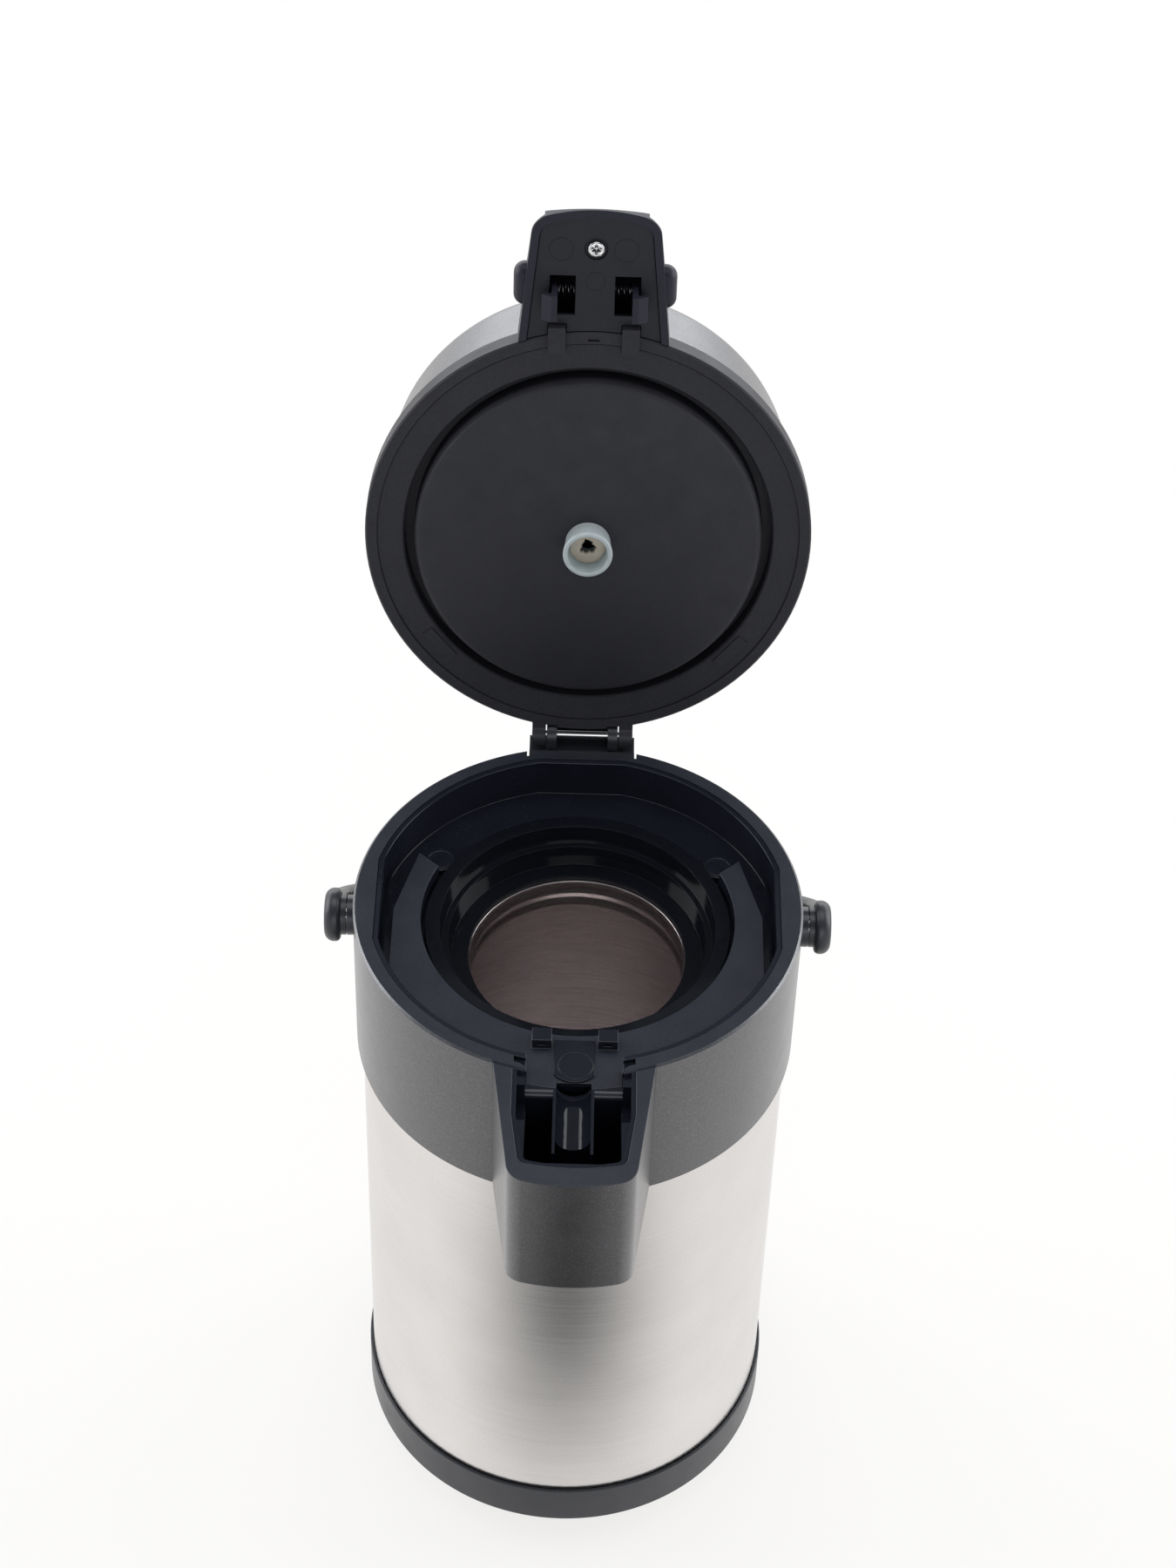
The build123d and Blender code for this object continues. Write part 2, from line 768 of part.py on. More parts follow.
def channel_strip():
    """The strip laid on the shelf that guides the pouring pipe out to the spout."""
    inner = collar_radius - strip_inner_inset
    outer = collar_radius - strip_outer_inset
    flat = Pos(0, -(inner + outer) / 2) * Rectangle(2 * strip_half, outer - inner)
    end = Pos(0, strip_bow - outer) * Circle(hypot(strip_half, strip_bow))
    end &= Pos(0, -outer) * Rectangle(2 * strip_half, strip_half)
    return prism(flat + end, shelf_z, shelf_z + strip_height)


# Lid hinge

def hinge_bracket():
    """The block set into the collar's back, with the two posts that carry the pin."""
    base_top = hinge_z - knuckle_radius - 2 * slide_clearance
    swing = knuckle_radius + 3 * slide_clearance
    back = hinge_y + knuckle_radius
    body = block(-bracket_half, bracket_half, bracket_front, back, rim_height - bracket_drop, base_top)
    wall_top = rim_height - bowl_top_drop
    body += block(-bracket_half, bracket_half, bracket_front, hinge_y - swing, base_top - 1, wall_top)
    lowest_back = body.edges().filter_by(Axis.X).sort_by(lambda e: e.center().Y - e.center().Z)[-1]
    body = chamfer(lowest_back, bracket_corner)
    body += both(rod(knuckle_radius, post_inner, post_outer, hinge_y, hinge_z))
    body += both(block(post_inner, post_outer, hinge_y - knuckle_radius, back, base_top - 1, hinge_z))
    body -= both(rod(knuckle_radius + slide_clearance, post_outer, arm_outer + 1, hinge_y, hinge_z))
    wall_half = arm_inner - slide_clearance
    body += block(-wall_half, wall_half, back - bracket_wall, back, base_top - 1, hinge_z + bracket_wall_rise)
    return body - rod(hinge_pin_radius + pin_clearance, -bracket_half, bracket_half, hinge_y, hinge_z)


def hinge_pin():
    """The bright steel pin through the posts and the lid's arms."""
    half = arm_outer + seat_clearance
    return rod(hinge_pin_radius, -half, half, hinge_y, hinge_z)


# Carrying handle

def pivot_pin(side):
    """The headed stud that a handle hub turns on."""
    inner = seam_flat_side + slide_clearance
    reach = hub_reach - pivot_cap_height - 2 * seat_clearance
    pin = rod(pivot_pin_radius, side * inner, side * reach, pivot_y, pivot_z)
    return pin + rod(pivot_head_radius, side * inner, side * (inner + pivot_head_height), pivot_y, pivot_z)


def pivot_cap(side):
    """The round cover let into the outside of a handle hub."""
    radius = pivot_cap_radius - seat_clearance / 2
    return hung(rod(radius, side * (hub_reach - pivot_cap_height), side * hub_reach, pivot_y, pivot_z))


def handle_grip():
    """The soft sleeve round the middle of the bail."""
    mid = hub_reach - bail_thickness / 2
    bend = pivot_y + bail_straight
    a = radians(grip_half_angle)
    end_x = mid * sin(a)
    end_y = bend + mid * cos(a)
    path = ThreePointArc((-end_x, end_y), (0, bend + mid), (end_x, end_y))
    plane = Plane(origin=path @ 0, x_dir=(-sin(a), cos(a), 0), z_dir=path % 0)
    outside = RectangleRounded(bail_thickness + 2 * grip_wall, bail_height + grip_extra_height,
                               bail_edge + grip_wall)
    inside = RectangleRounded(bail_thickness + seat_clearance, bail_height + seat_clearance, bail_edge)
    return hung(Pos(0, 0, pivot_z) * sweep(plane * (outside - inside), path=path))


def carry_handle():
    """A one-piece bail: two hubs, two arms and a half-round grip behind the pot."""
    mid = hub_reach - bail_thickness / 2
    bend = pivot_y + bail_straight
    path = Polyline((-mid, pivot_y), (-mid, bend))
    path += ThreePointArc((-mid, bend), (0, bend + mid), (mid, bend))
    path += Polyline((mid, bend), (mid, pivot_y))
    start = Plane(origin=(-mid, pivot_y, 0), x_dir=(1, 0, 0), z_dir=(0, 1, 0))
    section = start * RectangleRounded(bail_thickness, bail_height, bail_edge)
    bail = Pos(0, 0, pivot_z) * sweep(section, path=path)
    neck = pivot_boss_reach + slide_clearance
    for side in (-1, 1):
        hub = rod(hub_radius, side * hub_neck_reach, side * hub_reach, pivot_y, pivot_z)
        hub = fillet(hub.edges().sort_by(lambda e: side * e.center().X)[-1], hub_crown)
        hub = fillet(hub.edges().sort_by(lambda e: side * e.center().X)[0], hub_edge)
        bail += hub
        bail += rod(pivot_boss_radius, side * neck, side * (hub_neck_reach + hub_neck), pivot_y, pivot_z)
    pin_bore = pivot_pin_radius + pin_clearance
    seat = hub_reach - pivot_cap_height
    for side in (-1, 1):
        bail -= rod(pin_bore, side * collar_bore, side * (hub_reach + 1), pivot_y, pivot_z)
        bail -= rod(pivot_cap_radius, side * seat, side * (hub_reach + 1), pivot_y, pivot_z)
    return hung(bail)


# Lid casing, drawn closed and then tipped open

def lid_ring():
    """The black ring that closes on the collar's rim, with two arms down to the hinge."""
    top = lid_z + lid_ring_height
    w = lid_ring_wall
    e = lid_edge_round
    band = lid_z + lid_edge_step
    groove = lid_z + lid_groove_depth
    drum_bore = lid_drum_radius - lid_drum_wall
    line = lid_edge_line
    body = turned([
        (lid_band_inner, band + e), (lid_band_inner + e, band), (lid_band_outer - line, band),
        (lid_band_outer - line, band + line), (lid_band_outer, band + line), (lid_band_outer, lid_z),
        (lid_radius - e, lid_z), (lid_radius, lid_z + e),
        (lid_radius, top - 2 * e), (lid_radius - 2 * e, top),
        (drum_bore, top), (drum_bore, top - w), (lid_radius - w, top - w), (lid_radius - w, band + w),
        (lid_band_inner + w, band + w), (lid_band_inner + w, groove), (lid_band_inner, groove),
    ])
    arm = rod(knuckle_radius, arm_inner, arm_outer, hinge_y, hinge_z)
    arm += block(arm_inner, arm_outer, hinge_y - 8, hinge_y, lid_z, hinge_z + knuckle_radius)
    arm -= drum(lid_radius - w - lid_edge_round, lid_z - 1, top + 1)
    swing = knuckle_radius + 1.5 * slide_clearance
    body -= both(block(post_inner - arm_gap, arm_inner, hinge_y - swing, hinge_y + swing, lid_z - 1, top + 1))
    body += both(arm)
    pin_half = arm_outer + 1
    body -= rod(hinge_pin_radius + pin_clearance, -pin_half, pin_half, hinge_y, hinge_z)
    tab_near = (lid_band_inner + lid_band_outer) / 2 - snap_tab_width / 2 - 1
    tab = block(tab_near, tab_near + snap_tab_width, -snap_tab_half, snap_tab_half,
                band - snap_tab_proud, band + e)
    for angle in (snap_tab_angle, 180 - snap_tab_angle):
        body += Rot(0, 0, angle) * tab
    slot_y = edge_slot_inset - lid_radius
    body -= block(-edge_slot_half, edge_slot_half, slot_y - edge_slot_width / 2, slot_y + edge_slot_width / 2,
                  lid_z - 1, lid_z + edge_slot_depth)
    lug = block(lug_near, lug_near + lug_width, -lid_radius - lug_reach, -lid_radius + lug_inset,
                lid_z - lug_proud, lid_z + cover_inset)
    return opened(body + both(lug))


def lid_pan():
    """The matte black dish on the lid's underside, standing proud of the ring."""
    w = pan_wall
    e = pan_edge
    top = lid_z + lid_groove_depth + w
    hole = nozzle_bore + seat_clearance
    hang = lid_band_inner + lid_ring_wall
    dish = turned([
        (hole, pan_face), (pan_radius - e, pan_face), (pan_radius - 0.3 * e, pan_face + 0.3 * e),
        (pan_radius, pan_face + e), (pan_radius, top - w), (hang, top - w), (hang, top),
        (pan_radius - w, top),
        (pan_radius - w, pan_face + e), (pan_radius - e, pan_face + w), (hole, pan_face + w),
    ])
    return opened(dish)


def lid_shell():
    """The painted drum that forms the top of the lid, with a guide sleeve for the button."""
    low = lid_z + lid_ring_height
    r = lid_drum_radius
    s = lid_drum_shoulder
    w = lid_drum_wall
    bore = button_radius + slide_clearance
    guide = drum_top - guide_depth
    side = Line((r, low), (r, drum_top - s))
    shoulder = RadiusArc((r, drum_top - s), (r - s, drum_top), -s)
    sleeve = Polyline((r - s, drum_top), (bore, drum_top), (bore, guide), (bore + w, guide),
                      (bore + w, drum_top - w), (r - s, drum_top - w))
    inner_shoulder = RadiusArc((r - s, drum_top - w), (r - w, drum_top - s), s - w)
    inner_side = Polyline((r - w, drum_top - s), (r - w, low), (r, low))
    outline = make_face(side + shoulder + sleeve + inner_shoulder + inner_side)
    return opened(revolve(Plane.XZ * outline, Axis.Z))


def push_button():
    """The round pump button: a cap with a skirt that slides in the guide sleeve."""
    w = button_wall
    r = button_radius
    e = button_edge
    dip = 0.6
    hole = intake_neck + seat_clearance
    under = button_top - w - dip
    cap = turned([
        (hole, button_top - dip), (r - 8, button_top), (r - e, button_top), (r, button_top - e),
        (r, button_low), (r - w, button_low), (r - w, under), (hole, under),
    ])
    hub = spring_radius / 2
    plate = turned([
        (hub, button_low), (r - w / 2, button_low), (r - w / 2, button_low + w), (hub, button_low + w),
    ])
    return opened(cap + plate)


def button_flange():
    """The split ring under the skirt that keeps the button in its sleeve."""
    inner = button_radius - button_wall
    outer = button_radius + flange_width
    return opened(turned([(inner, pump_top), (outer, pump_top), (outer, button_low), (inner, button_low)]))


def bellows():
    """The rubber air bellows between the pan and the button."""
    step = (pump_top - pump_floor) / (2 * bellows_folds)
    outer = []
    for i in range(2 * bellows_folds + 1):
        outer.append((bellows_radius - (0 if i % 2 else bellows_fold), pump_floor + i * step))
    inner = [(r - bellows_wall, z) for r, z in outer]
    return opened(turned(outer + inner[::-1]))


def return_spring():
    """The steel spring that lifts the button."""
    spring = coil(spring_radius, spring_wire, pump_top - pump_floor, spring_turns)
    return opened(Pos(0, 0, pump_floor) * spring)


def intake_valve():
    """The flap valve that lets air into the bellows through the button."""
    top = button_top - 0.6
    flap = top - button_wall
    disc = turned([
        (0, flap - intake_height), (intake_radius, flap - intake_height), (intake_radius, flap),
        (intake_neck, flap), (intake_neck, top), (0, top),
    ])
    return opened(disc)


def air_nozzle():
    """The soft silicone cup that presses air into the flask's stem."""
    tip = lid_z - nozzle_reach
    root = pump_floor + nozzle_flange
    floor = pan_face - valve_depth
    r = nozzle_radius
    w = nozzle_wall
    eye = nozzle_bore - nozzle_lip
    cup = turned([
        (eye, root), (nozzle_bore + 2, root), (nozzle_bore + 2, pump_floor), (nozzle_bore, pump_floor),
        (nozzle_bore, pan_face), (r - 0.8, pan_face), (r - 0.8, pan_face - 2), (r, tip + 0.6), (r - 0.5, tip),
        (r - w, tip), (r - w - 0.6, floor), (eye, floor),
    ])
    return opened(cup)


def nozzle_valve():
    """The beige outlet valve seated in the silicone cup."""
    top = pan_face - valve_depth
    r = nozzle_radius - nozzle_wall - 0.7
    ring = turned([
        (valve_bore, top), (r, top), (r, top - 1.6), (r - 1.2, top - 1.6),
        (valve_bore + 0.6, top - 2.2), (valve_bore, top - 1.4),
    ])
    return opened(ring)


# Tongue and squeeze latches

def over_tongue():
    """Everything above the tongue's sloping top and its three leaning front faces."""
    back = lid_z + tongue_height_back
    lip = lid_z + tongue_lip
    high = back + lid_drum_height
    slope = (tongue_height_back - tongue_height_front) / (tongue_reach - lid_drum_radius)
    near = lid_drum_radius / 2
    far = tongue_reach + tongue_bow
    near_z = back + slope * (lid_drum_radius - near)
    far_z = back - slope * (far - lid_drum_radius)
    face = make_face(Polyline((-near, near_z), (-far, far_z), (-far, high), (-near, high), close=True))
    above = extrude(Plane.YZ * face, amount=lid_drum_radius, both=True)
    lean = tan(radians(tongue_lean))
    for turn in (-tongue_corner_turn, 0, tongue_corner_turn):
        reach = -(Rot(0, 0, turn) * tongue_outline()).bounding_box().min.Y
        low = lip - tongue_bow / lean
        wedge = make_face(Polyline((-reach - tongue_bow, low), (-reach + (high - lip) * lean, high),
                                   (-reach - tongue_bow, high), close=True))
        above += Rot(0, 0, -turn) * extrude(Plane.YZ * wedge, amount=lid_drum_radius, both=True)
    return above


def lid_bulk(clear):
    """The space taken by the lid's ring and drum."""
    ring = drum(lid_radius + clear, lid_z - 1, lid_z + lid_ring_height + clear)
    return ring + drum(lid_drum_radius + clear, lid_z, drum_top)


def tongue_housing():
    """The box at the lid's front that carries the latches; its floor is a separate plate."""
    high = lid_z + tongue_height_back + tongue_wall
    seat = lid_z + cover_inset + cover_thickness
    body = prism(tongue_outline(), lid_z, high) - over_tongue()
    body = fillet(body.faces().sort_by(Axis.Z)[-1].edges().sort_by(Axis.Y)[:-1], tongue_edge)
    body -= prism(tongue_outline(-tongue_wall), lid_z - 1, high) - Pos(0, 0, -tongue_wall) * over_tongue()
    post = drum(tongue_screw_recess + channel_wall, seat, high, 0, tongue_screw_y)
    rib = block(-rib_half, rib_half, -latch_front - 4, -latch_back + 4, seat, high)
    body += (post + rib) - Pos(0, 0, -tongue_wall / 2) * over_tongue()
    body -= drum(screw_shank_radius + seat_clearance, seat, seat + tongue_screw_length, 0, tongue_screw_y)
    c = slide_clearance
    slot = block(knob_inner, tongue_half_back + tongue_edge, -knob_front - c, -knob_back + c,
                 lid_z + knob_low - c, lid_z + knob_high + c)
    body -= both(fillet(slot.edges().filter_by(Axis.X), knob_edge + c))
    return opened(body - lid_bulk(seat_clearance))


def tongue_cover():
    """The inset plate under the tongue, with a window for each hook and a recess for the screw."""
    low = lid_z + cover_inset
    high = low + cover_thickness
    c = seat_clearance
    window_near = latch_shank_near - latch_travel - latch_hook_height
    window_far = latch_shank_near + latch_shank_width + 2 * slide_clearance
    plate = prism(tongue_outline(-tongue_wall - c), low, high)
    plate -= both(block(window_near, window_far, -latch_front - 4, -latch_back + 1, low - 1, high + 1))
    plate -= drum(tongue_screw_recess, low - 1, high - tongue_screw_bearing, 0, tongue_screw_y)
    plate -= drum(screw_shank_radius + c, low, high + 1, 0, tongue_screw_y)
    lug_front = -lid_radius - lug_reach - c
    plate -= both(block(lug_near - c, lug_near + lug_width + c, lug_front, -seam_radius / 2,
                        low - 1, high + 1))
    return opened(plate - lid_bulk(seat_clearance))


def tongue_screw():
    """The cross-head screw that holds the plate to the tongue."""
    seat = lid_z + cover_inset + cover_thickness - tongue_screw_bearing
    low = seat - screw_head_height
    arm = tongue_screw_head / 2
    screw = drum(tongue_screw_head, low, seat, 0, tongue_screw_y)
    screw += drum(screw_shank_radius, seat - 0.5, seat + tongue_screw_length, 0, tongue_screw_y)
    for long_x, long_y in ((arm, 0.45), (0.45, arm)):
        screw -= block(-long_x, long_x, tongue_screw_y - long_y, tongue_screw_y + long_y, low - 1, low + 1)
    return opened(screw)


def latch_button(side):
    """A squeeze button with its arm and hook in one moulding."""
    tip = lid_z - latch_hook_depth
    high = lid_z + latch_arm_high
    shank_far = latch_shank_near + latch_shank_width
    knob = block(knob_inner, knob_reach, -knob_front, -knob_back, lid_z + knob_low, lid_z + knob_high)
    knob = fillet(knob.edges().group_by(Axis.X)[-1] + knob.edges().filter_by(Axis.X), knob_edge)
    arm = block(latch_shank_near, knob_inner + 1, -latch_front, -latch_back, lid_z + latch_arm_low, high)
    shank = block(latch_shank_near, shank_far, -latch_front, -latch_back, tip, high)
    hook_top = tip + latch_hook_height
    hook_side = tip + latch_hook_lead
    hook = make_face(Polyline((latch_shank_near, tip), (shank_far, tip), (latch_hook_reach, hook_side),
                              (latch_hook_reach, hook_top), (latch_shank_near, hook_top), close=True))
    hook = Pos(0, -latch_back, 0) * extrude(Plane.XZ * hook, amount=latch_length)
    body = knob + arm + shank + hook
    if side < 0:
        body = mirror(body, about=Plane.YZ)
    return opened(body)


def latch_spring(side):
    """The small spring between a latch arm and the tongue's middle rib."""
    spring = coil(latch_spring_radius, latch_spring_wire, latch_shank_near - rib_half, latch_spring_turns)
    middle = lid_z + (latch_arm_low + latch_arm_high) / 2
    placed = Pos(rib_half, -(latch_front + latch_back) / 2, middle) * Rot(0, 90, 0) * spring
    if side < 0:
        placed = mirror(placed, about=Plane.YZ)
    return opened(placed)


def save(name, shape):
    """Write one sub-part; a group of like pieces comes as a list."""
    solids = []
    for piece in (shape if isinstance(shape, list) else [shape]):
        solids += piece.solids()
    whole = solids[0] if len(solids) == 1 else Compound(children=solids)
    export_step(whole, f"parts/{name}.step")


single_pieces = [
    swivel_base, rubber_ring, swivel_screw,
    base_cap, outer_shell, shell_bottom, inner_liner, neck_gasket,
    collar, collar_bowl, bowl_screws, screw_plugs, screw_sockets, throat_ring,
    spout_cover, spout_floor, spout_channel, channel_strip,
    hinge_bracket, hinge_pin, carry_handle, handle_grip,
    lid_ring, lid_pan, lid_shell,
    push_button, button_flange, bellows, return_spring, intake_valve, air_nozzle, nozzle_valve,
    tongue_housing, tongue_cover, tongue_screw,
]
for make in single_pieces:
    save(make.__name__, make())

paired_pieces = {
    "handle_pin": pivot_pin,
    "handle_cap": pivot_cap,
    "latch_button": latch_button,
    "latch_spring": latch_spring,
}
for name, make in paired_pieces.items():
    save(f"{name}_left", make(-1))
    save(f"{name}_right", make(1))
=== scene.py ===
import json
from math import cos, pi, radians, sin

import bmesh
import bpy
from mathutils import Matrix, Vector


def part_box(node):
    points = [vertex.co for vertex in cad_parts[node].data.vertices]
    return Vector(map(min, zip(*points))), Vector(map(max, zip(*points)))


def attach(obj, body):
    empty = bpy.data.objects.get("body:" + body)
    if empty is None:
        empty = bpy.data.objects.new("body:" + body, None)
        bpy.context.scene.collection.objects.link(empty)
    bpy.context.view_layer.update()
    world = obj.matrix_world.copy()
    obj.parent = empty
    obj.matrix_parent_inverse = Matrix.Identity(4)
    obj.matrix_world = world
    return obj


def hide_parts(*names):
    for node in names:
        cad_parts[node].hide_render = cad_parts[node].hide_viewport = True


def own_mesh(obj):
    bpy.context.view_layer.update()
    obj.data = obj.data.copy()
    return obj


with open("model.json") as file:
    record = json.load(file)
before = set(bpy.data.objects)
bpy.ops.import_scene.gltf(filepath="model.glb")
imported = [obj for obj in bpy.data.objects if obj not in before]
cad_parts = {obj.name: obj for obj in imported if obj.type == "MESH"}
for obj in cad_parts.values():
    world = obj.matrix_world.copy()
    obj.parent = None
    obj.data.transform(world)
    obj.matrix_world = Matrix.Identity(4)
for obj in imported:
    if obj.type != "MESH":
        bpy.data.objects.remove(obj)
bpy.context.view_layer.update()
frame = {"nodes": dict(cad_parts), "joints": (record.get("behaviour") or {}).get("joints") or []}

# The camera
# It looks down into the open pot from the front, a little over a metre away, and is tipped slightly to one
# side. Its frame is upright, three wide to four high.
view_turn = radians(-0.46)
view_rise = radians(44.67)
view_roll = radians(1.87)
view_distance = 1.14807
view_aim = Vector((0.00207, 0.0, 0.34441))
back = Vector((sin(view_turn) * cos(view_rise), -cos(view_turn) * cos(view_rise), sin(view_rise)))
level = Vector((cos(view_turn), sin(view_turn), 0.0))
upward = back.cross(level)
right = level * cos(view_roll) + upward * sin(view_roll)
above = upward * cos(view_roll) - level * sin(view_roll)
camera_data = bpy.data.cameras.new("camera")
camera_data.sensor_fit = "VERTICAL"
camera_data.sensor_height = 36.0
camera_data.lens = 76.944
camera_data.clip_end = 20.0
camera = bpy.data.objects.new("camera", camera_data)
facing = Matrix((right, above, back)).transposed().to_4x4()
camera.matrix_world = Matrix.Translation(view_aim + back * view_distance) @ facing
bpy.context.scene.collection.objects.link(camera)
bpy.context.scene.camera = camera
bpy.context.scene.view_settings.view_transform = "Standard"


# The table and the room
# A matte white table in a white room, lit by soft boxes overhead and all round. What mirrors in the metal is
# white too, apart from a dimmer ceiling and a painted dark reflection: a soft-edged patch in front of the
# pot, where the table's glow is dimmed for mirrored rays only.
class Wire:
    """A value inside a material: arithmetic on it adds Math nodes."""

    def __init__(self, tree, socket):
        self.tree = tree
        self.socket = socket

    @staticmethod
    def node(tree, kind, settings, inputs, output=0):
        """Adds a node: its settings are set first, then each socket gets its value or its link."""
        made = tree.nodes.new("ShaderNode" + kind)
        for key, value in settings.items():
            setattr(made, key, value)
        for key, value in inputs.items():
            if isinstance(value, Wire):
                tree.links.new(value.socket, made.inputs[key])
            else:
                made.inputs[key].default_value = value
        return Wire(tree, made.outputs[output]) if made.outputs else None

    def maths(self, operation, first, second=0.0):
        return Wire.node(self.tree, "Math", {"operation": operation}, {0: first, 1: second})

    def __add__(self, other):
        return self.maths("ADD", self, other)

    def __sub__(self, other):
        return self.maths("SUBTRACT", self, other)

    def __rsub__(self, other):
        return self.maths("SUBTRACT", other, self)

    def __mul__(self, other):
        return self.maths("MULTIPLY", self, other)

    def __truediv__(self, other):
        return self.maths("DIVIDE", self, other)

    def __rtruediv__(self, other):
        return self.maths("DIVIDE", other, self)

    __radd__ = __add__
    __rmul__ = __mul__


def begin(name):
    """An empty material and its node tree."""
    material = bpy.data.materials.new(name)
    material.use_nodes = True
    material.node_tree.nodes.clear()
    return material, material.node_tree


def surface(material, shader):
    """Ends a material in its output and returns it."""
    Wire.node(material.node_tree, "OutputMaterial", {}, {"Surface": shader})
    return material


def grade(value, low, high, to_low, to_high):
    """A value moved from one range to another, and held inside it."""
    return Wire.node(value.tree, "MapRange", {}, {0: value, 1: low, 2: high, 3: to_low, 4: to_high})


table_white, tree = begin("table_white")
path = Wire.node(tree, "LightPath", {}, {}, "Is Camera Ray")
gloss = Wire.node(tree, "LightPath", {}, {}, "Is Glossy Ray")
through = Wire.node(tree, "LightPath", {}, {}, "Is Transmission Ray")
mirrored = path.maths("MAXIMUM", gloss, through)
spot = Wire.node(tree, "TexCoord", {}, {}, "Object")
# A painted dark reflection: in front of the pot, the table's glow is dimmed with a soft edge for mirrored
# rays only.
painted_reflection_half_width = 0.12
painted_reflection_near = -0.08
painted_reflection_full = -0.18
painted_reflection_shade = 0.90
shown_glow = 0.80
mirrored_glow = 0.95
aside = Wire.node(tree, "SeparateXYZ", {}, {0: spot}, 0) / painted_reflection_half_width
forward = Wire.node(tree, "SeparateXYZ", {}, {0: spot}, 1)
across_painted_reflection = aside.maths("EXPONENT", aside * aside * -1.0)
painted_reflection = across_painted_reflection * grade(forward, painted_reflection_near, painted_reflection_full, 0.0, painted_reflection_shade)
chalk = Wire.node(tree, "BsdfDiffuse", {}, {"Color": (0.86, 0.86, 0.86, 1.0)})
glow = Wire.node(tree, "Emission", {}, {"Color": (1.0, 0.99, 0.98, 1.0), "Strength": 1.0 - painted_reflection * gloss})
glowing = path * shown_glow + mirrored * mirrored_glow * (1.0 - path)
surface(table_white, Wire.node(tree, "MixShader", {}, {0: glowing, 1: chalk, 2: glow}))
table_half = 3.0
mesh = bpy.data.meshes.new("table_top")
corners = [(x * table_half, y * table_half, 0.0) for x, y in ((-1, -1), (1, -1), (1, 1), (-1, 1))]
mesh.from_pydata(corners, [], [(0, 1, 2, 3)])
table_top = bpy.data.objects.new("table_top", mesh)
table_top.data.materials.append(table_white)
bpy.context.scene.collection.objects.link(table_top)

room = bpy.data.worlds.new("white_room")
bpy.context.scene.world = room
room.use_nodes = True
tree = room.node_tree
tree.nodes.clear()
path = Wire.node(tree, "LightPath", {}, {}, "Is Camera Ray")
gloss = Wire.node(tree, "LightPath", {}, {}, "Is Glossy Ray")
direction = Wire.node(tree, "TexCoord", {}, {}, "Generated")
height = Wire.node(tree, "SeparateXYZ", {}, {0: direction}, 2)
wall_top = 0.18
ceiling_edge = 0.60
ceiling_shade = 0.22
room_light = 0.36
ceiling = grade(height, wall_top, ceiling_edge, 1.0, ceiling_shade)
plain = Wire.node(tree, "Background", {}, {"Color": (0.93, 0.96, 1.0, 1.0), "Strength": room_light})
mirror = Wire.node(tree, "Background", {}, {"Color": (0.86, 0.92, 1.0, 1.0), "Strength": ceiling})
white = Wire.node(tree, "Background", {}, {"Color": (1.0, 1.0, 1.0, 1.0), "Strength": 1.0})
reflected = Wire.node(tree, "MixShader", {}, {0: gloss, 1: plain, 2: mirror})
shown = Wire.node(tree, "MixShader", {}, {0: path, 1: reflected, 2: white})
Wire.node(tree, "OutputWorld", {}, {"Surface": shown})


def softbox(name, place, aim, width, depth, power):
    """A rectangular lamp that faces its aim."""
    data = bpy.data.lights.new(name, "AREA")
    data.shape = "RECTANGLE"
    data.size = width
    data.size_y = depth
    data.energy = power
    made = bpy.data.objects.new(name, data)
    made.location = place
    made.rotation_euler = (Vector(aim) - Vector(place)).to_track_quat("-Z", "Y").to_euler()
    bpy.context.scene.collection.objects.link(made)


body_middle = (0.0, 0.0, 0.25)
collar_middle = (0.0, 0.0, 0.30)
softbox("left_softbox", (-1.3, 0.35, 0.75), body_middle, 0.9, 1.2, 11)
softbox("right_softbox", (1.3, 0.35, 0.75), body_middle, 0.9, 1.2, 11)
softbox("top_softbox", (0.0, 0.3, 1.9), body_middle, 1.4, 1.0, 9)
softbox("front_softbox", (0.2, -1.9, 1.1), collar_middle, 1.3, 0.8, 6)
softbox("back_softbox", (0.0, 2.0, 0.75), collar_middle, 2.8, 1.0, 16)
softbox("left_corner_softbox", (-1.5, 1.5, 1.0), collar_middle, 0.9, 1.5, 6)
softbox("right_corner_softbox", (1.5, 1.5, 1.0), collar_middle, 0.9, 1.5, 6)


# The swivel foot
# A round black plastic turntable with a rubber ring pressed into its foot. The plastic has the fine pitted
# texture that a spark-eroded mould gives.
def grain(tree, size, detail=2.0, stretch=(1.0, 1.0, 1.0)):
    """Noise with features of the given size in metres, drawn out along an axis whose stretch is under 1."""
    place = Wire.node(tree, "TexCoord", {}, {}, "Object")
    scaled = Wire.node(tree, "Mapping", {}, {"Vector": place, "Scale": stretch})
    return Wire.node(tree, "TexNoise", {}, {"Vector": scaled, "Scale": 1.0 / size, "Detail": detail})


def tinted(colour, factor):
    """A colour made lighter and darker over the surface by a factor."""
    return Wire.node(factor.tree, "VectorMath", {"operation": "SCALE"}, {0: colour, "Scale": factor})


def moulded(name, colour, roughness, texture, depth, shine=0.5):
    """Moulded plastic: a pitted texture, faintly cloudy colour, and smears that change its sheen."""
    material, tree = begin(name)
    pits = grain(tree, texture)
    cloud = grain(tree, 0.016, 3.0)
    shade = tinted(colour, grade(pits, 0.3, 0.7, 0.86, 1.14) * grade(cloud, 0.3, 0.7, 0.94, 1.06))
    sheen = grade(grain(tree, 0.009, 4.0), 0.3, 0.7, roughness * 0.92, roughness * 1.1)
    relief = Wire.node(tree, "Bump", {}, {"Strength": 0.7, "Distance": depth, "Height": pits})
    return surface(material, Wire.node(tree, "BsdfPrincipled", {}, {
        "Base Color": shade, "Roughness": sheen, "Specular IOR Level": shine, "Normal": relief}))


nodes = frame["nodes"]
same_point = 0.000002
same_plane = radians(0.4)
sharp_turn = radians(25)


